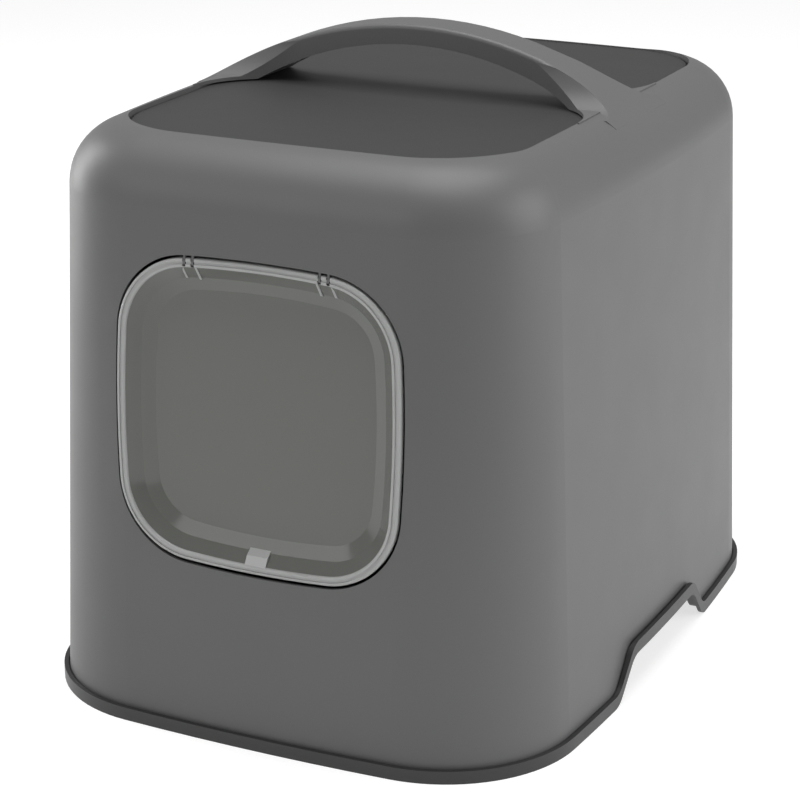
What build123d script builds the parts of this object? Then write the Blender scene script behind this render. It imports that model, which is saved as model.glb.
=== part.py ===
from build123d import *
from math import cos, radians, sin, sqrt, tan
import os

os.makedirs("parts", exist_ok=True)

# Covered litter box, millimetres. The origin is on the floor under the middle of the
# rim, +Z is up, and the flap door faces -Y.

# Overall size
WIDTH = 390.0  # across the tray rim
DEPTH = 511.0  # front to back over the tray rim
TOP_Z = 391.0  # flat crown of the hood
HANDLE_TOP = 434.0  # highest point of the carrying handle

# Outline shared by the rim, the hood and the tray: four bowed sides, round corners
SIDE_BOW = 13.5  # how far the left and right sides bulge
FRONT_BOW = 9.7  # how far the front and back bulge
RIM_CORNER = 97.0
DRAFT = 2.4  # degrees that every upright wall leans inwards

# Walls and clearances
HOOD_WALL = 2.5
TRAY_WALL = 2.4
SLIP = 0.5  # rim round the hood foot
SEAT_GAP = 0.3  # hood foot above its ledge
SKIRT_GAP = 1.2  # hood round the tray skirt

# Tray rim
LIP_WALL = 2.9
LIP_HEIGHT = 9.0
LEDGE_TOP = 6.4
LEDGE_THICK = 2.4
RIM_TO_HOOD = LIP_WALL + SLIP

# Side grip: rim and hood foot both rise here, left and right alike
GRIP_Y = -6.0
GRIP_RISE = 27.5
GRIP_FLAT = 60.0  # half length at full height
GRIP_FOOT = 85.0  # half length at the floor
GRIP_ROUND = 16.0

# Litter pan
PAN_TOP = 104.0
PAN_LAND = 12.0  # width of the turned-over edge between skirt and pan
PAN_DRAFT = 9.5
PAN_CORNER = 80.0
PAN_FOOT_ROUND = 22.0

# Hood crown and its opening
CROWN_ROUND = 42.0
OPEN_X = 142.0
OPEN_FRONT = -199.0
OPEN_BACK = 210.0
OPEN_CORNER = 62.0
OPEN_BOW = 4.0
OPEN_DROP = 15.0  # depth of the wall turned down round the opening

# Handle
HANDLE_Y = 8.0
HANDLE_WIDTH = 34.0
HANDLE_DEEP = 13.5  # height of the arch band at mid span
HANDLE_UNDER = 232.0  # radius of the finger gap's roof
HANDLE_WALL = 3.2
HANDLE_EDGE = 3.0
HANDLE_RIBS = 5
HANDLE_PITCH = 36.0
HOLLOW_X = 104.0
ROOT_DEEP = 12.0  # the arch ends run this far down before the hood wall trims them
FOOT_ROUND = 30.0  # how the handle widens downwards into the rim, seen from the end
FOOT_PLAN = 55.0  # how the rim widens into the handle's foot, seen from above
FOOT_Z = TOP_Z - 2.4

# Dark panel in the crown, a shallow box pushed up against the turned-down wall
PANEL_TOP = 387.5
PANEL_WALL = 2.4
PANEL_GAP = 0.9
PANEL_FLANGE = 5.0
PANEL_EDGE = 2.0
VENT_ROWS = 9
VENT_PITCH = 30.0
VENT_LONG = 14.0
VENT_HIGH = 2.5
RIB_WALL = 1.8

# Door
DOOR_Z = 221.5
DOOR_X_HALF = 103.0
DOOR_Z_HALF = 103.5
DOOR_SIDE_BOW = 5.2
DOOR_END_BOW = 5.9
DOOR_CORNER = 55.0
DOOR_GAP = 1.8
DOOR_CUT = 20.0  # how deep the door opening is cut, well past the bowed front
FLAP_BACK = 1.0  # flap face behind the hood face at mid width
FLAP_RIM = 6.0  # width of the clear frame
FLAP_THICK = 4.4
FRAME_EDGE = 1.5
GROOVE_WIDE = 1.6
GROOVE_DEEP = 0.7
LUG_WIDE = 15.0
LUG_HIGH = 9.0

# Dished pane: an edge held in the frame, two sloping borders and a flat middle
PANE_BACK = 1.4  # pane edge behind the frame face
PANE_WALL = 1.8
PANE_HOLD = 3.0  # how far the pane reaches into the frame
BORDER_STEEP = (7.5, 6.4)  # inwards and backwards
BORDER_FLAT = (8.5, 4.2)

# Flap hinge
HINGE_X = 47.5
HINGE_DROP = 6.0  # pin axis below the top of the door opening
HINGE_DEEP = 2.3  # pin axis behind the flap face
PIN_R = 1.25
PIN_RUN = 0.06
PIN_LENGTH = 11.0
CHEEK_R = 2.3  # two cheeks on the hood hold each pin
CHEEK_X = 3.0
CHEEK_WALL = 1.6
CHEEK_WEB = (-1.6, 1.6)
CHEEK_SLOT = 2.4
RIB_X = 5.0  # flap ribs outside the cheeks, running down onto the pane
RIB_WIDE = 1.6
RIB_DOWN = 12.0
RIB_PROUD = 1.0
GUSSET_TOP = CHEEK_R + 0.6  # below the pin axis
GUSSET_DEEP = 4.6
HINGE_HALF = RIB_X + RIB_WIDE / 2

# Odour filter under the panel
FILTER_X = 94.0
FILTER_Y = 126.0
FILTER_PAD = 5.0
FILTER_CORNER = 12.0
FILTER_WALL = 1.8
FILTER_SLACK = 0.4
SLOT_X, SLOT_Y = 50.0, 16.0
SLOT_COLUMNS, SLOT_ROWS = 3, 9
TAB_WIDTH = 26.0
TAB_DEEP = 9.0

# Screws that hold the panel up to the hood
SCREW_R = 1.5
SCREW_HEAD_R = 3.2
SCREW_HEAD = 2.2
SCREW_LONG = 9.0
SCREW_X = 151.0
SCREW_Y = (-118.0, 5.5, 129.0)
BOSS_R = 4.2

half_x = WIDTH / 2
half_y = DEPTH / 2
lean = tan(radians(DRAFT))
hood_x = half_x - RIM_TO_HOOD
hood_y = half_y - RIM_TO_HOOD
open_y = (OPEN_BACK + OPEN_FRONT) / 2
open_half_y = (OPEN_BACK - OPEN_FRONT) / 2
flange_z = TOP_Z - OPEN_DROP
screw_places = [(x, y) for x in (-SCREW_X, SCREW_X) for y in SCREW_Y]

# Plane of the door: its y runs up the leaning front and its z points outwards
door_plane = Plane(
    origin=(0, -(hood_y - DOOR_Z * lean), DOOR_Z),
    x_dir=(1, 0, 0),
    z_dir=(0, -cos(radians(DRAFT)), sin(radians(DRAFT))),
)
flap_plane = door_plane.offset(-FLAP_BACK)
hinge_up = DOOR_Z_HALF - HINGE_DROP
hinge_point = flap_plane.from_local_coords((0, hinge_up, -HINGE_DEEP))
hinge_sides = [(x, way) for x in (-HINGE_X, HINGE_X) for way in (-1, 1)]
# Seen along the pin: x runs into the box and y up the front
hinge_plane = Plane(origin=hinge_point, x_dir=-door_plane.z_dir, z_dir=(1, 0, 0))
lug_plane = Plane(
    origin=flap_plane.from_local_coords((0, DOOR_GAP + FLAP_RIM - DOOR_Z_HALF, 0)),
    x_dir=-door_plane.z_dir,
    z_dir=(1, 0, 0),
)


def bowed(x, y, side_bow, end_bow, corner):
    """Flat outline x by y half sizes, with four bulging sides and round corners."""
    cx, cy = x - side_bow, y - end_bow
    with BuildSketch() as outline:
        with BuildLine():
            ThreePointArc((-cx, -cy), (0, -y), (cx, -cy))
            ThreePointArc((cx, -cy), (x, 0), (cx, cy))
            ThreePointArc((cx, cy), (0, y), (-cx, cy))
            ThreePointArc((-cx, cy), (-x, 0), (-cx, -cy))
        make_face()
        fillet(outline.vertices(), corner)
    return outline.sketch


def shell_outline(inset):
    """Outline of the rim at floor level, moved inwards by inset."""
    return bowed(
        half_x - inset, half_y - inset, SIDE_BOW, FRONT_BOW, RIM_CORNER - inset
    )


def opening_outline(grow):
    """Outline of the hole in the crown, made larger by grow."""
    return bowed(OPEN_X + grow, open_half_y + grow, OPEN_BOW, OPEN_BOW, OPEN_CORNER + grow)


def door_outline(grow):
    """Outline of the door in the plane of the hood front, made larger by grow."""
    return bowed(
        DOOR_X_HALF + grow,
        DOOR_Z_HALF + grow,
        DOOR_SIDE_BOW,
        DOOR_END_BOW,
        DOOR_CORNER + grow,
    )


def drafted_block(inset, top, crown):
    """Solid with the leaning walls of the hood, and a rounded upper edge."""
    with BuildPart() as block:
        with BuildSketch():
            add(shell_outline(inset))
        extrude(amount=top, taper=DRAFT)
        fillet(block.edges().group_by(Axis.Z)[-1], crown)
    return block.part


def below_grip(height):
    """Everything under the grip line, lifted by height: the line rises at each side."""
    reach = DEPTH
    with BuildPart() as under:
        with BuildSketch(Plane.YZ):
            with BuildLine():
                line = FilletPolyline(
                    (-reach, height),
                    (GRIP_Y - GRIP_FOOT, height),
                    (GRIP_Y - GRIP_FLAT, height + GRIP_RISE),
                    (GRIP_Y + GRIP_FLAT, height + GRIP_RISE),
                    (GRIP_Y + GRIP_FOOT, height),
                    (reach, height),
                    radius=GRIP_ROUND,
                )
                Polyline(line @ 1, (reach, -reach), (-reach, -reach), line @ 0)
            make_face()
        extrude(amount=WIDTH, both=True)
    return under.part


def pan_block(inset, floor):
    """The litter space, narrowing downwards, as a solid standing at floor height."""
    top_inset = RIM_TO_HOOD + HOOD_WALL + SKIRT_GAP + PAN_TOP * lean + TRAY_WALL
    with BuildPart() as block:
        with BuildSketch(Plane.XY.offset(PAN_TOP)):
            add(
                bowed(
                    half_x - top_inset - PAN_LAND - inset,
                    half_y - top_inset - PAN_LAND - inset,
                    SIDE_BOW,
                    FRONT_BOW,
                    PAN_CORNER - inset,
                )
            )
        extrude(amount=floor - PAN_TOP, taper=PAN_DRAFT)
        fillet(block.edges().group_by(Axis.Z)[0], PAN_FOOT_ROUND - inset)
    return block.part


def make_tray():
    skirt_inset = RIM_TO_HOOD + HOOD_WALL + SKIRT_GAP
    with BuildPart() as hollow:
        add(drafted_block(skirt_inset + TRAY_WALL, PAN_TOP - TRAY_WALL, 4.0))
        add(pan_block(0, 0), mode=Mode.SUBTRACT)
    with BuildPart() as lip:
        with BuildSketch():
            add(shell_outline(0))
            add(shell_outline(LIP_WALL), mode=Mode.SUBTRACT)
        extrude(amount=GRIP_RISE + LIP_HEIGHT)
        add(below_grip(LIP_HEIGHT), mode=Mode.INTERSECT)
        add(below_grip(0), mode=Mode.SUBTRACT)
    with BuildPart() as ledge:
        with BuildSketch():
            add(shell_outline(LIP_WALL / 2))
            add(shell_outline(skirt_inset + TRAY_WALL / 2), mode=Mode.SUBTRACT)
        extrude(amount=GRIP_RISE + LIP_HEIGHT)
        add(below_grip(LEDGE_TOP), mode=Mode.INTERSECT)
        add(below_grip(LEDGE_TOP - LEDGE_THICK), mode=Mode.SUBTRACT)
    with BuildPart() as tray:
        add(drafted_block(skirt_inset, PAN_TOP, 5.0))
        add(hollow.part, mode=Mode.SUBTRACT)
        add(below_grip(LEDGE_TOP - LEDGE_THICK), mode=Mode.SUBTRACT)
        add(pan_block(0, 0))
        add(pan_block(TRAY_WALL, TRAY_WALL), mode=Mode.SUBTRACT)
        add(ledge.part)
        add(lip.part)
    return tray


def handle_plan():
    """The handle seen from above: a strip that widens into the rim at both ends."""
    end = 2 * (half_x - OPEN_X)
    with BuildSketch() as plan:
        with Locations((0, HANDLE_Y)):
            Rectangle(WIDTH, HANDLE_WIDTH)
        with Locations((-half_x, HANDLE_Y), (half_x, HANDLE_Y)):
            Rectangle(end, HANDLE_WIDTH + 2.2 * FOOT_PLAN)
        inner = plan.vertices().filter_by(
            lambda v: abs(abs(v.X) - OPEN_X) < 0.1
            and abs(abs(v.Y - HANDLE_Y) - HANDLE_WIDTH / 2) < 0.1
        )
        fillet(inner, FOOT_PLAN)
    return plan.sketch


def foot_lands(roof_x):
    """Flat corners of the crown at both feet of the handle, level with the rim."""
    with BuildPart() as lands:
        with BuildSketch(Plane.XY.offset(FOOT_Z)):
            add(handle_plan())
            with Locations((0, HANDLE_Y)):
                Rectangle(2 * OPEN_X + 2, HANDLE_WIDTH + 2 * FOOT_PLAN, mode=Mode.INTERSECT)
                Rectangle(2 * roof_x, WIDTH, mode=Mode.SUBTRACT)
        extrude(amount=TOP_Z - FOOT_Z)
    return lands.part


def make_handle():
    """Carrying arch whose top runs out tangent to the rounded crown."""
    crown_x = hood_x - TOP_Z * lean - CROWN_ROUND / tan(radians(45 + DRAFT / 2))
    rise = HANDLE_TOP - TOP_Z
    over = rise + CROWN_ROUND
    arch = (crown_x**2 + over**2 - CROWN_ROUND**2) / (2 * rise)
    centre_z = HANDLE_TOP - arch
    reach = arch / (arch - CROWN_ROUND)
    end_x = crown_x * reach
    end_z = centre_z + (TOP_Z - CROWN_ROUND - centre_z) * reach
    roof_z = HANDLE_TOP - HANDLE_DEEP
    roof_x = sqrt(HANDLE_UNDER**2 - (HANDLE_UNDER - roof_z + FOOT_Z) ** 2)
    across = Plane.XZ.offset(-HANDLE_Y)
    with BuildPart() as handle:
        # Arch seen from the front
        with BuildSketch(across):
            with BuildLine():
                ThreePointArc((-end_x, end_z), (0, HANDLE_TOP), (end_x, end_z))
                Polyline(
                    (end_x, end_z),
                    (end_x, end_z - ROOT_DEEP),
                    (OPEN_X, end_z - ROOT_DEEP),
                    (OPEN_X, FOOT_Z),
                    (roof_x, FOOT_Z),
                )
                ThreePointArc((roof_x, FOOT_Z), (0, roof_z), (-roof_x, FOOT_Z))
                Polyline(
                    (-roof_x, FOOT_Z),
                    (-OPEN_X, FOOT_Z),
                    (-OPEN_X, end_z - ROOT_DEEP),
                    (-end_x, end_z - ROOT_DEEP),
                    (-end_x, end_z),
                )
            make_face()
        extrude(amount=HANDLE_WIDTH * 3, both=True)
        # Strip seen from above, widening into the rim at both ends
        with BuildSketch(Plane.XY.offset(TOP_Z - CROWN_ROUND)):
            add(handle_plan())
        extrude(amount=HANDLE_TOP, mode=Mode.INTERSECT)
        # Sides seen from the end, flaring down onto the rim
        side = HANDLE_WIDTH / 2
        low = FOOT_Z - 0.6
        bend = FOOT_ROUND * (1 - sqrt(0.5))
        with BuildSketch(Plane.YZ):
            with BuildLine():
                for way in (-1, 1):
                    Polyline(
                        (HANDLE_Y, HANDLE_TOP + 1),
                        (HANDLE_Y + way * side, HANDLE_TOP + 1),
                        (HANDLE_Y + way * side, low + FOOT_ROUND),
                    )
                    ThreePointArc(
                        (HANDLE_Y + way * side, low + FOOT_ROUND),
                        (HANDLE_Y + way * (side + bend), low + bend),
                        (HANDLE_Y + way * (side + FOOT_ROUND), low),
                    )
                    Polyline(
                        (HANDLE_Y + way * (side + FOOT_ROUND), low),
                        (HANDLE_Y + way * (side + FOOT_ROUND), TOP_Z - CROWN_ROUND),
                        (HANDLE_Y, TOP_Z - CROWN_ROUND),
                    )
            make_face()
        extrude(amount=WIDTH, both=True, mode=Mode.INTERSECT)
        top_face = handle.faces().sort_by(Axis.Z)[-1]
        rim_edges = top_face.edges().filter_by(
            lambda e: abs(e.center().X) < roof_x
        )
        fillet(rim_edges, HANDLE_EDGE)
        # Hollow underside with cross ribs
        with BuildSketch(across):
            with Locations((0, centre_z)):
                Circle(arch - HANDLE_WALL)
            with Locations((0, TOP_Z)):
                Rectangle(2 * HOLLOW_X, 2 * HANDLE_TOP - 2 * TOP_Z, mode=Mode.INTERSECT)
            for rib in range(HANDLE_RIBS):
                with Locations(((rib - (HANDLE_RIBS - 1) / 2) * HANDLE_PITCH, TOP_Z)):
                    Rectangle(RIB_WALL, HANDLE_TOP, mode=Mode.SUBTRACT)
        extrude(amount=HANDLE_WIDTH / 2 - HANDLE_WALL, both=True, mode=Mode.SUBTRACT)
        add(foot_lands(roof_x))
        add(hood_inner, mode=Mode.SUBTRACT)
    return handle.part


def make_hood():
    top = Plane.XY.offset(flange_z)
    with BuildPart() as turned_edge:
        with BuildSketch(top):
            with Locations((0, open_y)):
                add(opening_outline(HOOD_WALL))
                add(opening_outline(0), mode=Mode.SUBTRACT)
        extrude(amount=OPEN_DROP)
        add(hood_outer, mode=Mode.INTERSECT)
    with BuildPart() as cheeks:
        for x, way in hinge_sides:
            with BuildSketch(hinge_plane.offset(x + way * CHEEK_X)):
                Circle(CHEEK_R)
                with BuildLine():
                    low, high = CHEEK_WEB
                    Polyline(
                        (low, 0), (high, 0), (high, HINGE_DROP), (low, HINGE_DROP), close=True
                    )
                make_face()
                Circle(PIN_R, mode=Mode.SUBTRACT)
            extrude(amount=CHEEK_WALL / 2, both=True)
    with BuildPart() as bosses:
        with BuildSketch(top):
            with Locations(*screw_places):
                Circle(BOSS_R)
        extrude(amount=OPEN_DROP)
        add(
            drafted_block(RIM_TO_HOOD + HOOD_WALL / 2, TOP_Z - 1, CROWN_ROUND - 1),
            mode=Mode.INTERSECT,
        )
        with BuildSketch(top):
            with Locations(*screw_places):
                Circle(SCREW_R)
        extrude(amount=SCREW_LONG - PANEL_WALL, mode=Mode.SUBTRACT)
    with BuildPart() as hood:
        add(hood_outer)
        add(hood_inner, mode=Mode.SUBTRACT)
        with BuildSketch(top):
            with Locations((0, open_y)):
                add(opening_outline(0))
        extrude(amount=HANDLE_TOP, mode=Mode.SUBTRACT)
        add(turned_edge.part)
        add(bosses.part)
        add(make_handle())
        with BuildSketch(door_plane.offset(-DOOR_CUT)):
            add(door_outline(0))
        extrude(amount=2 * DOOR_CUT, mode=Mode.SUBTRACT)
        add(cheeks.part)
        add(below_grip(LEDGE_TOP + SEAT_GAP), mode=Mode.SUBTRACT)
    return hood


def make_panel():
    top = Plane.XY.offset(flange_z - PANEL_WALL)
    with BuildPart() as panel:
        with BuildSketch(top):
            with Locations((0, open_y)):
                add(opening_outline(PANEL_FLANGE))
            with Locations(*screw_places):
                Circle(BOSS_R + 2)
        extrude(amount=PANEL_WALL)
        with BuildSketch(top):
            with Locations((0, open_y)):
                add(opening_outline(-PANEL_GAP))
        extrude(amount=PANEL_TOP - flange_z + PANEL_WALL)
        fillet(panel.edges().group_by(Axis.Z)[-1], PANEL_EDGE)
        with BuildSketch(top):
            with Locations((0, open_y)):
                add(opening_outline(-PANEL_GAP - PANEL_WALL))
        extrude(amount=PANEL_TOP - flange_z, mode=Mode.SUBTRACT)
        with BuildSketch(top):
            with Locations(*screw_places):
                Circle(SCREW_R + SLIP / 2)
        extrude(amount=PANEL_WALL, mode=Mode.SUBTRACT)
        # Vents through both long walls, hidden in the shadow gap
        with Locations((0, open_y, PANEL_TOP - PANEL_WALL - 2 * VENT_HIGH)):
            with GridLocations(1, VENT_PITCH, 1, VENT_ROWS):
                Box(WIDTH * 0.9, VENT_LONG, VENT_HIGH, mode=Mode.SUBTRACT)
        # Stiffening ribs under the plate
        with BuildSketch(Plane.XY.offset(PANEL_TOP - PANEL_WALL)):
            with Locations((0, open_y)):
                with GridLocations(SLOT_X * 1.5, 1, 3, 1):
                    Rectangle(RIB_WALL, 2 * open_half_y - 4 * PANEL_WALL)
                with GridLocations(1, 2 * VENT_PITCH, 1, 5):
                    Rectangle(2 * OPEN_X - 4 * PANEL_WALL, RIB_WALL)
        extrude(amount=-VENT_HIGH)
    return panel


def make_screws():
    with BuildPart() as screws:
        with BuildSketch(Plane.XY.offset(flange_z - PANEL_WALL)):
            with Locations(*screw_places):
                Circle(SCREW_HEAD_R)
        extrude(amount=-SCREW_HEAD)
        fillet(screws.edges().group_by(Axis.Z)[0], SCREW_HEAD / 2)
        with BuildSketch(Plane.XY.offset(flange_z - PANEL_WALL)):
            with Locations(*screw_places):
                Circle(SCREW_R)
        extrude(amount=SCREW_LONG - 1)
    return screws


def make_filter_frame():
    plate = Plane.XY.offset(flange_z - PANEL_WALL)
    with BuildPart() as frame:
        with BuildSketch(plate):
            with Locations((0, open_y)):
                add(opening_outline(-PANEL_GAP - PANEL_WALL - FILTER_SLACK))
        extrude(amount=FILTER_WALL)
        with BuildSketch(plate):
            with Locations((0, open_y)):
                RectangleRounded(
                    2 * (FILTER_X + FILTER_WALL),
                    2 * (FILTER_Y + FILTER_WALL),
                    FILTER_CORNER + FILTER_WALL,
                )
                RectangleRounded(
                    2 * FILTER_X, 2 * FILTER_Y, FILTER_CORNER, mode=Mode.SUBTRACT
                )
        extrude(amount=FILTER_WALL + FILTER_PAD)
        with BuildSketch(plate):
            with Locations((0, open_y)):
                with GridLocations(1.2 * SLOT_X, 1.6 * SLOT_Y, SLOT_COLUMNS, SLOT_ROWS):
                    SlotOverall(SLOT_X, SLOT_Y)
        extrude(amount=FILTER_WALL, mode=Mode.SUBTRACT)
        # Pull tab towards the door
        with BuildSketch(Plane.XZ.offset(FILTER_Y + TAB_DEEP - open_y)):
            with Locations((0, flange_z - PANEL_WALL - TAB_DEEP / 2 + 1)):
                RectangleRounded(TAB_WIDTH, TAB_DEEP + 2, TAB_DEEP / 3)
        extrude(amount=FILTER_WALL, both=True)
        with BuildSketch(Plane.XY.offset(flange_z - PANEL_WALL + FILTER_WALL)):
            with Locations((0, open_y - FILTER_Y - TAB_DEEP)):
                Rectangle(2 * TAB_WIDTH, TAB_DEEP)
        extrude(amount=TAB_DEEP, mode=Mode.SUBTRACT)
    return frame


def make_filter_pad():
    with BuildPart() as pad:
        with BuildSketch(Plane.XY.offset(flange_z - PANEL_WALL + FILTER_WALL)):
            with Locations((0, open_y)):
                RectangleRounded(
                    2 * (FILTER_X - FILTER_SLACK),
                    2 * (FILTER_Y - FILTER_SLACK),
                    FILTER_CORNER - FILTER_SLACK,
                )
        extrude(amount=FILTER_PAD)
    return pad


def dish(back):
    """Solid that fills the dished middle of the pane, starting this far behind its face."""
    rim = -DOOR_GAP - FLAP_RIM
    start = -PANE_BACK - back
    with BuildPart() as solid:
        for border_in, border_back in (BORDER_STEEP, BORDER_FLAT):
            with BuildSketch(flap_plane.offset(start)):
                add(door_outline(rim))
            rim -= border_in
            start -= border_back
            with BuildSketch(flap_plane.offset(start)):
                add(door_outline(rim))
            loft()
    return solid.part


def make_pane():
    with BuildPart() as pane:
        with BuildSketch(flap_plane.offset(-PANE_BACK - PANE_WALL)):
            add(door_outline(PANE_HOLD - DOOR_GAP - FLAP_RIM))
        extrude(amount=PANE_WALL)
        add(dish(PANE_WALL))
        add(dish(0), mode=Mode.SUBTRACT)
        # Room for the hinges
        gap_middle = hinge_up + (HINGE_DROP - GUSSET_TOP) / 2
        with BuildSketch(flap_plane):
            with Locations((-HINGE_X, gap_middle), (HINGE_X, gap_middle)):
                Rectangle(2 * HINGE_HALF, HINGE_DROP + GUSSET_TOP)
        extrude(amount=-DOOR_CUT, mode=Mode.SUBTRACT)
    return pane


def pane_depth(inwards):
    """How far behind the flap face the pane's front lies, this far in from the frame."""
    steep_in, steep_back = BORDER_STEEP
    flat_in, flat_back = BORDER_FLAT
    if inwards < steep_in:
        return PANE_BACK + inwards * steep_back / steep_in
    return PANE_BACK + steep_back + (inwards - steep_in) * flat_back / flat_in


def make_flap_frame(pane):
    edge = DOOR_GAP + FLAP_RIM
    middle = DOOR_GAP + FLAP_RIM / 2
    inside = PANE_WALL / 2  # a point in the middle of the pane's wall
    with BuildPart() as frame:
        with BuildSketch(flap_plane.offset(-FLAP_THICK)):
            add(door_outline(-DOOR_GAP))
            add(door_outline(-edge), mode=Mode.SUBTRACT)
        extrude(amount=FLAP_THICK)
        fillet(frame.edges().filter_by(lambda e: on_plane(e, flap_plane)), FRAME_EDGE)
        # Shallow groove between the two ridges of the frame
        with BuildSketch(flap_plane.offset(-GROOVE_DEEP)):
            add(door_outline(GROOVE_WIDE / 2 - middle))
            add(door_outline(-GROOVE_WIDE / 2 - middle), mode=Mode.SUBTRACT)
        extrude(amount=FLAP_THICK, mode=Mode.SUBTRACT)
        # Gusset behind each hinge, which joins the frame under the slots
        gusset_front = PANE_BACK + inside - HINGE_DEEP
        gusset_down = GUSSET_DEEP * BORDER_STEEP[0] / BORDER_STEEP[1]
        for x in (-HINGE_X, HINGE_X):
            with BuildSketch(hinge_plane.offset(x)):
                with BuildLine():
                    Polyline(
                        (gusset_front, -GUSSET_TOP),
                        (gusset_front, 0),
                        (FLAP_THICK - HINGE_DEEP, 0),
                        (gusset_front + GUSSET_DEEP, -GUSSET_TOP),
                        (gusset_front + GUSSET_DEEP, -GUSSET_TOP - gusset_down),
                        close=True,
                    )
                make_face()
            extrude(amount=HINGE_HALF, both=True)
        # Two ribs at each hinge
        rib_front = PANE_BACK / 2 - HINGE_DEEP
        rib_foot = pane_depth(RIB_DOWN - GUSSET_TOP) - HINGE_DEEP
        for x, way in hinge_sides:
            with BuildSketch(hinge_plane.offset(x + way * RIB_X)):
                with BuildLine():
                    Polyline(
                        (rib_front, 0),
                        (rib_front, -GUSSET_TOP),
                        (rib_foot - RIB_PROUD, -RIB_DOWN),
                        (rib_foot + inside, -RIB_DOWN),
                        (gusset_front, -GUSSET_TOP),
                        (gusset_front, 0),
                        close=True,
                    )
                make_face()
            extrude(amount=RIB_WIDE / 2, both=True)
        # Slots for the hood's cheeks, and the pin bore
        for x, way in hinge_sides:
            with BuildSketch(hinge_plane.offset(x + way * CHEEK_X)):
                with Locations((0, HINGE_DROP - GUSSET_TOP)):
                    Rectangle(4 * FLAP_THICK, 2 * HINGE_DROP)
            extrude(amount=CHEEK_SLOT / 2, both=True, mode=Mode.SUBTRACT)
        for x in (-HINGE_X, HINGE_X):
            with BuildSketch(hinge_plane.offset(x)):
                Circle(PIN_R + PIN_RUN)
            extrude(amount=PIN_LENGTH / 2 + PIN_RUN, both=True, mode=Mode.SUBTRACT)
        # Catch lug at the middle of the lower edge, standing on the pane's border
        with BuildSketch(lug_plane):
            with BuildLine():
                Polyline(
                    (PANE_BACK / 2, -1),
                    (PANE_BACK / 2, 0),
                    (PANE_BACK + LUG_HIGH / 4, LUG_HIGH * 0.6),
                    (pane_depth(LUG_HIGH), LUG_HIGH),
                    (pane_depth(LUG_HIGH) + inside, LUG_HIGH),
                    (PANE_BACK + inside, -1),
                    close=True,
                )
            make_face()
        extrude(amount=LUG_WIDE / 2, both=True)
        add(pane, mode=Mode.SUBTRACT)
    return frame


def make_pins():
    with BuildPart() as pins:
        for x in (-HINGE_X, HINGE_X):
            with BuildSketch(hinge_plane.offset(x)):
                Circle(PIN_R)
            extrude(amount=PIN_LENGTH / 2, both=True)
    return pins


def on_plane(edge, plane):
    return abs(plane.to_local_coords(edge.center()).Z) < 0.01


hood_outer = drafted_block(RIM_TO_HOOD, TOP_Z, CROWN_ROUND)
hood_inner = drafted_block(
    RIM_TO_HOOD + HOOD_WALL, TOP_Z - HOOD_WALL, CROWN_ROUND - HOOD_WALL
)
tray = make_tray()
hood = make_hood()
panel = make_panel()
screws = make_screws()
filter_frame = make_filter_frame()
filter_pad = make_filter_pad()
pane = make_pane()
flap_frame = make_flap_frame(pane.part)
pins = make_pins()

pieces = {
    "base_tray": tray,
    "hood": hood,
    "top_panel": panel,
    "panel_screws": screws,
    "filter_frame": filter_frame,
    "carbon_filter": filter_pad,
    "flap_pane": pane,
    "flap_frame": flap_frame,
    "hinge_pins": pins,
}
for name, piece in pieces.items():
    piece.part.label = name
    export_step(piece.part, f"parts/{name}.step")
    print(name, len(piece.part.solids()), round(piece.part.volume / 1000, 1), "cm3")
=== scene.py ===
# %% [markdown]
# A covered litter box is three large mouldings and one door: a pan with a rim, a hood
# that sits in the rim, a dark panel let into the hood's crown, and a see-through flap.
# The exact shapes were built beforehand, so this notebook starts by loading them and
# then gives every surface the look of the real plastic.

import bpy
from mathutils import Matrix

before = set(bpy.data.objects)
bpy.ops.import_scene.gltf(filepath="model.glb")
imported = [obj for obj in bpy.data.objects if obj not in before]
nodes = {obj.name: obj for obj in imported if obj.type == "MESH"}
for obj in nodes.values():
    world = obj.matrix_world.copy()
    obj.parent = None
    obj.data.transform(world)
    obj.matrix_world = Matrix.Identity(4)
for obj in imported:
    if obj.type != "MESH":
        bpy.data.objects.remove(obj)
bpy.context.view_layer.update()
print("construction nodes:", ", ".join(sorted(nodes)))

# %% [markdown]
# The tools used below: bpy holds the scene, bmesh shapes meshes, and math turns
# degrees into the radians that Blender wants.

# %% Tools
import math

import bmesh
import bpy
from mathutils import Vector

MM = 0.001
print("one millimetre is", MM, "scene units")

# %% [markdown]
# The camera stands to the right of the door and a little above the crown, and looks
# through a long lens, which keeps the upright walls nearly parallel in the picture.

# %% Camera
CAMERA_PLACE = (0.7058, -1.5002, 0.7286)
CAMERA_DOWN = 18.86
CAMERA_TURN = 25.67
CAMERA_LENS = 109.75

camera = bpy.data.objects.new("camera", bpy.data.cameras.new("camera"))
camera.location = CAMERA_PLACE
camera.rotation_euler = (math.radians(90 - CAMERA_DOWN), 0, math.radians(CAMERA_TURN))
camera.data.lens = CAMERA_LENS
bpy.context.scene.collection.objects.link(camera)
bpy.context.scene.camera = camera
bpy.context.scene.view_settings.view_transform = "Standard"
print("camera is", round(Vector(CAMERA_PLACE).length, 2), "m from the middle of the base")

# %% [markdown]
# Materials are node trees. These helpers make an empty one with a Principled shader,
# add nodes to it, and put it on an object. Values that stay the same all over a
# surface are typed straight into the shader's own sockets.

# %% Material helpers


def new_material(name, **values):
    """Material with one Principled shader, whose sockets take the given values."""
    material = bpy.data.materials.new(name)
    material.use_nodes = True
    shader = material.node_tree.nodes["Principled BSDF"]
    for socket, value in values.items():
        shader.inputs[socket.replace("_", " ")].default_value = value
    return material, material.node_tree, shader


def put(tree, kind, **values):
    """Adds a node, and sets its properties or its input sockets."""
    node = tree.nodes.new(kind)
    for name, value in values.items():
        if hasattr(node, name):
            setattr(node, name, value)
        else:
            node.inputs[name.replace("_", " ")].default_value = value
    return node


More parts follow.
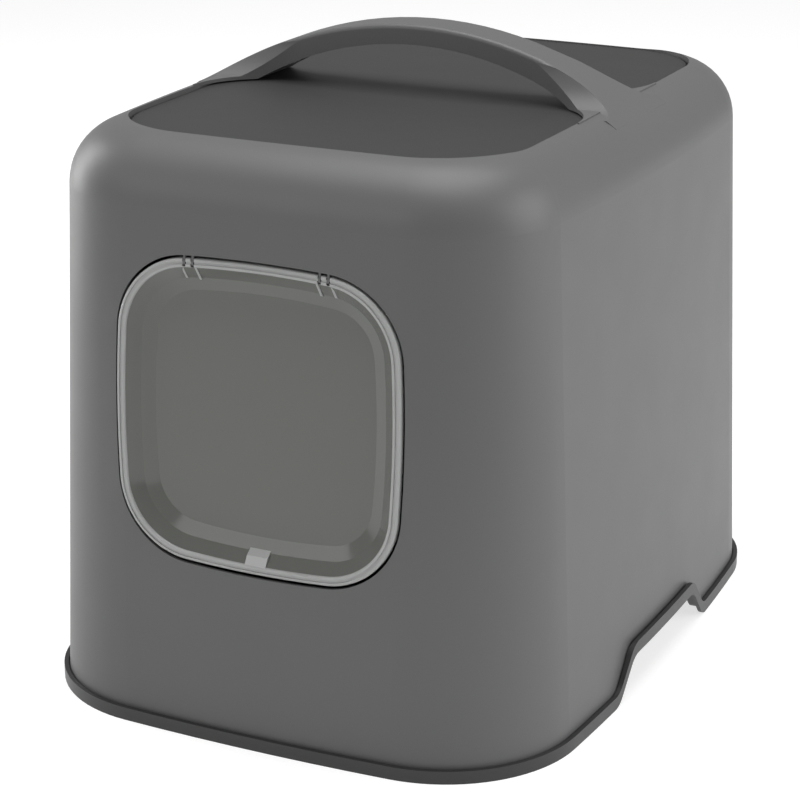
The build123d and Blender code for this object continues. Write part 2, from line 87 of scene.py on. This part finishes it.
def coat_with(objects, material):
    """Gives the objects this one material."""
    for thing in objects:
        thing.data.materials.clear()
        thing.data.materials.append(material)


def grey(level, green=0.0):
    """Colour of a grey plastic from its linear brightness, with a little green in it."""
    return (level, level * (1 + green), level, 1)


print("material helpers ready")

# %% [markdown]
# Moulded plastic is never perfectly even. The steel mould is spark-eroded or etched,
# so the surface carries a fine grain, and the plastic shrinks a little unevenly, so
# broad faces show soft, slow waves. Both are one node group. The grain's size, its depth
# and the waves' depth are inputs, because every plastic here has its own.

# %% Moulded surface group
WAVE_SCALE = 7.0  # waves per metre
MOTTLE_SCALE = 26.0


def moulded_surface():
    """Node group that puts out a fine-grained normal, a tone and a gloss change."""
    group = bpy.data.node_groups.new("moulded_surface", "ShaderNodeTree")
    sockets = group.interface
    for name in ("Grain Size", "Grain Depth", "Wave Depth"):
        sockets.new_socket(name, in_out="INPUT", socket_type="NodeSocketFloat")
    sockets.new_socket("Normal", in_out="OUTPUT", socket_type="NodeSocketVector")
    sockets.new_socket("Tone", in_out="OUTPUT", socket_type="NodeSocketFloat")
    sockets.new_socket("Gloss", in_out="OUTPUT", socket_type="NodeSocketFloat")
    link = group.links.new
    given = put(group, "NodeGroupInput")
    out = put(group, "NodeGroupOutput")
    place = put(group, "ShaderNodeTexCoord").outputs["Object"]
    size = put(group, "ShaderNodeMath", operation="DIVIDE")
    size.inputs[0].default_value = 1 / MM
    link(given.outputs["Grain Size"], size.inputs[1])
    grain = put(group, "ShaderNodeTexNoise", Detail=2.0, Roughness=0.6)
    link(place, grain.inputs["Vector"])
    link(size.outputs[0], grain.inputs["Scale"])
    wave = put(group, "ShaderNodeTexNoise", Scale=WAVE_SCALE, Detail=1.0)
    link(place, wave.inputs["Vector"])
    slow = put(group, "ShaderNodeBump", Strength=1.0)
    link(given.outputs["Wave Depth"], slow.inputs["Distance"])
    link(wave.outputs["Fac"], slow.inputs["Height"])
    fine = put(group, "ShaderNodeBump", Strength=1.0)
    link(given.outputs["Grain Depth"], fine.inputs["Distance"])
    link(grain.outputs["Fac"], fine.inputs["Height"])
    link(slow.outputs["Normal"], fine.inputs["Normal"])
    link(fine.outputs["Normal"], out.inputs["Normal"])
    mottle = put(group, "ShaderNodeTexNoise", Scale=MOTTLE_SCALE, Detail=3.0)
    link(place, mottle.inputs["Vector"])
    link(mottle.outputs["Fac"], out.inputs["Gloss"])
    link(wave.outputs["Fac"], out.inputs["Tone"])
    return group


SURFACE = moulded_surface()
print("group", SURFACE.name, "has", len(SURFACE.nodes), "nodes")

# %% [markdown]
# A moulded plastic is a colour, a gloss and that group. The colour and the roughness
# drift by a few percent over the face, as they do on the real mouldings.

# %% Moulded plastic
MOULDED_WAVE = 0.12 * MM
TONE_DRIFT = 0.03
GLOSS_DRIFT = 0.04


def moulded_plastic(name, colour, roughness, grain, depth):
    """Plastic of one colour; grain is in millimetres and depth in metres."""
    material, tree, shader = new_material(name, Roughness=roughness, IOR=1.5)
    surface = put(tree, "ShaderNodeGroup", node_tree=SURFACE)
    surface.inputs["Grain Size"].default_value = grain
    surface.inputs["Grain Depth"].default_value = depth
    surface.inputs["Wave Depth"].default_value = MOULDED_WAVE
    tree.links.new(surface.outputs["Normal"], shader.inputs["Normal"])
    tone = put(tree, "ShaderNodeMix", data_type="RGBA")
    tone.inputs["A"].default_value = [c * (1 - TONE_DRIFT) for c in colour[:3]] + [1]
    tone.inputs["B"].default_value = [c * (1 + TONE_DRIFT) for c in colour[:3]] + [1]
    tree.links.new(surface.outputs["Tone"], tone.inputs["Factor"])
    tree.links.new(tone.outputs["Result"], shader.inputs["Base Color"])
    gloss = put(tree, "ShaderNodeMapRange")
    gloss.inputs["To Min"].default_value = roughness - GLOSS_DRIFT
    gloss.inputs["To Max"].default_value = roughness + GLOSS_DRIFT
    tree.links.new(surface.outputs["Gloss"], gloss.inputs["Value"])
    tree.links.new(gloss.outputs["Result"], shader.inputs["Roughness"])
    return material


HOOD_GREY = grey(0.108)
TRAY_GREY = grey(0.027)
PANEL_GREY = grey(0.023)
FILTER_GREY = grey(0.03)
hood_satin = moulded_plastic("hood_satin", HOOD_GREY, 0.46, 0.5, 0.01 * MM)
tray_satin = moulded_plastic("tray_satin", TRAY_GREY, 0.42, 0.5, 0.01 * MM)
panel_grain = moulded_plastic("panel_grain", PANEL_GREY, 0.55, 0.9, 0.1 * MM)
filter_black = moulded_plastic("filter_black", FILTER_GREY, 0.5, 0.6, 0.04 * MM)
coat_with([nodes["hood"]], hood_satin)
coat_with([nodes["base_tray"]], tray_satin)
coat_with([nodes["top_panel"]], panel_grain)
coat_with([nodes["filter_frame"]], filter_black)
print("moulded plastics:", len(bpy.data.materials))

# %% [markdown]
# The flap is smoked, see-through plastic, held in a clearer frame whose ridges catch
# the light. Some of the light that enters such plastic scatters back, so the pane
# looks milky grey instead of black against the dark inside.

# %% Clear plastics
CLEAR_GRAIN = 2.0
CLEAR_DEPTH = 0.01 * MM
CLEAR_WAVE = 0.3 * MM


def clear_plastic(name, colour, roughness, through):
    """See-through plastic that lets the share called through pass and scatters the rest."""
    material, tree, shader = new_material(
        name, Roughness=roughness, IOR=1.49, Transmission_Weight=through
    )
    shader.inputs["Base Color"].default_value = colour
    surface = put(tree, "ShaderNodeGroup", node_tree=SURFACE)
    surface.inputs["Grain Size"].default_value = CLEAR_GRAIN
    surface.inputs["Grain Depth"].default_value = CLEAR_DEPTH
    surface.inputs["Wave Depth"].default_value = CLEAR_WAVE
    tree.links.new(surface.outputs["Normal"], shader.inputs["Normal"])
    return material


smoked_pane = clear_plastic("smoked_pane", (0.24, 0.245, 0.225, 1), 0.14, 0.5)
frosted_rim = clear_plastic("frosted_rim", (0.60, 0.61, 0.60, 1), 0.18, 0.4)
coat_with([nodes["flap_pane"]], smoked_pane)
coat_with([nodes["flap_frame"]], frosted_rim)
print("clear plastics:", smoked_pane.name, "and", frosted_rim.name)

# %% [markdown]
# Inside, a sheet of carbon felt lies in the filter frame, and steel screws hold the
# panel. The felt is nearly black with a woolly surface, and the steel is zinc plated.

# %% Felt and steel
felt, felt_tree, felt_shader = new_material(
    "carbon_wool", Roughness=0.95, Sheen_Weight=0.3, Base_Color=grey(0.015)
)
wool = put(felt_tree, "ShaderNodeTexNoise", Scale=900.0, Detail=4.0)
felt_tree.links.new(
    put(felt_tree, "ShaderNodeTexCoord").outputs["Object"], wool.inputs["Vector"]
)
raised = put(felt_tree, "ShaderNodeBump", Strength=0.8, Distance=0.8 * MM)
felt_tree.links.new(wool.outputs["Fac"], raised.inputs["Height"])
felt_tree.links.new(raised.outputs["Normal"], felt_shader.inputs["Normal"])
coat_with([nodes["carbon_filter"]], felt)

zinc, zinc_tree, zinc_shader = new_material(
    "zinc_steel", Roughness=0.35, Metallic=1.0, Base_Color=grey(0.55)
)
haze = put(zinc_tree, "ShaderNodeTexNoise", Scale=700.0, Detail=3.0)
zinc_tree.links.new(
    put(zinc_tree, "ShaderNodeTexCoord").outputs["Object"], haze.inputs["Vector"]
)
dull = put(zinc_tree, "ShaderNodeMapRange")
dull.inputs["To Min"].default_value = 0.28
dull.inputs["To Max"].default_value = 0.5
zinc_tree.links.new(haze.outputs["Fac"], dull.inputs["Value"])
zinc_tree.links.new(dull.outputs["Result"], zinc_shader.inputs["Roughness"])
coat_with([nodes["panel_screws"], nodes["hinge_pins"]], zinc)
print("felt and steel ready")

# %% [markdown]
# The floor is a large pale sheet. The camera sees it close to white, and it keeps the
# soft shadow under the box: part of its brightness is its own and part comes from the
# lamps, so only the lamps' part goes dark in the shadow.

# %% Floor
FLOOR_SIZE = 8.0
FLOOR_GLOW = 0.70  # brightness of its own
FLOOR_SHADE = 0.42  # share that comes from the lamps
floor_mesh = bpy.data.meshes.new("floor")
shape = bmesh.new()
bmesh.ops.create_grid(shape, x_segments=1, y_segments=1, size=FLOOR_SIZE / 2)
shape.to_mesh(floor_mesh)
shape.free()
floor = bpy.data.objects.new("floor", floor_mesh)
bpy.context.scene.collection.objects.link(floor)

white, white_tree, white_shader = new_material(
    "floor_white", Base_Color=grey(0.8), Roughness=0.9, Specular_IOR_Level=0.0
)
ray = put(white_tree, "ShaderNodeLightPath")
seen = put(white_tree, "ShaderNodeMath", operation="MAXIMUM")
seen_all = put(white_tree, "ShaderNodeMath", operation="MAXIMUM")
glow = put(white_tree, "ShaderNodeEmission", Color=(1, 1, 1, 1), Strength=FLOOR_GLOW)
shade = put(white_tree, "ShaderNodeBsdfDiffuse", Color=grey(FLOOR_SHADE))
both = put(white_tree, "ShaderNodeAddShader")
choose = put(white_tree, "ShaderNodeMixShader")
join = white_tree.links.new
join(ray.outputs["Is Camera Ray"], seen.inputs[0])
join(ray.outputs["Is Glossy Ray"], seen.inputs[1])
join(seen.outputs[0], seen_all.inputs[0])
join(ray.outputs["Is Transmission Ray"], seen_all.inputs[1])
join(glow.outputs[0], both.inputs[0])
join(shade.outputs[0], both.inputs[1])
join(seen_all.outputs[0], choose.inputs["Fac"])
join(white_shader.outputs[0], choose.inputs[1])
join(both.outputs[0], choose.inputs[2])
join(choose.outputs[0], white_tree.nodes["Material Output"].inputs["Surface"])
coat_with([floor], white)
print("floor is", FLOOR_SIZE, "m square")

# %% [markdown]
# The world is white where the camera looks and softer as a light. Large, soft lamps
# do the rest: one on the right, which makes the right wall the lighter one, a weak
# one in front, one above for the crown and the arch, and a narrow one at the left,
# which draws the thin bright line down the hood's left edge.

# %% World and lamps
SKY_LIGHT = 0.35
world = bpy.data.worlds.new("studio")
bpy.context.scene.world = world
world.use_nodes = True
sky = world.node_tree
plain = sky.nodes["Background"]
plain.inputs["Color"].default_value = (1, 1, 1, 1)
plain.inputs["Strength"].default_value = SKY_LIGHT
bright = put(sky, "ShaderNodeBackground", Color=(1, 1, 1, 1), Strength=1.0)
sky_ray = put(sky, "ShaderNodeLightPath")
sky_choose = put(sky, "ShaderNodeMixShader")
sky.links.new(sky_ray.outputs["Is Camera Ray"], sky_choose.inputs["Fac"])
sky.links.new(plain.outputs[0], sky_choose.inputs[1])
sky.links.new(bright.outputs[0], sky_choose.inputs[2])
sky.links.new(sky_choose.outputs[0], sky.nodes["World Output"].inputs["Surface"])


def lamp(name, place, size, watts, aim=(0, 0, 0.2)):
    """Rectangular soft lamp at a place, turned towards a point of the box."""
    data = bpy.data.lights.new(name, "AREA")
    data.shape = "RECTANGLE"
    data.size, data.size_y = size
    data.energy = watts
    made = bpy.data.objects.new(name, data)
    made.location = place
    made.rotation_euler = (Vector(aim) - Vector(place)).to_track_quat("-Z", "Y").to_euler()
    bpy.context.scene.collection.objects.link(made)
    return made


lamp("right_softbox", (2.6, 0.6, 1.1), (2.0, 2.0), 42)
lamp("front_softbox", (-1.6, -3.0, 1.6), (2.4, 1.6), 20)
lamp("left_strip", (-2.0, 0.2, 0.6), (0.5, 1.6), 22)
lamp("top_softbox", (0.0, 0.0, 2.6), (2.0, 2.0), 52)
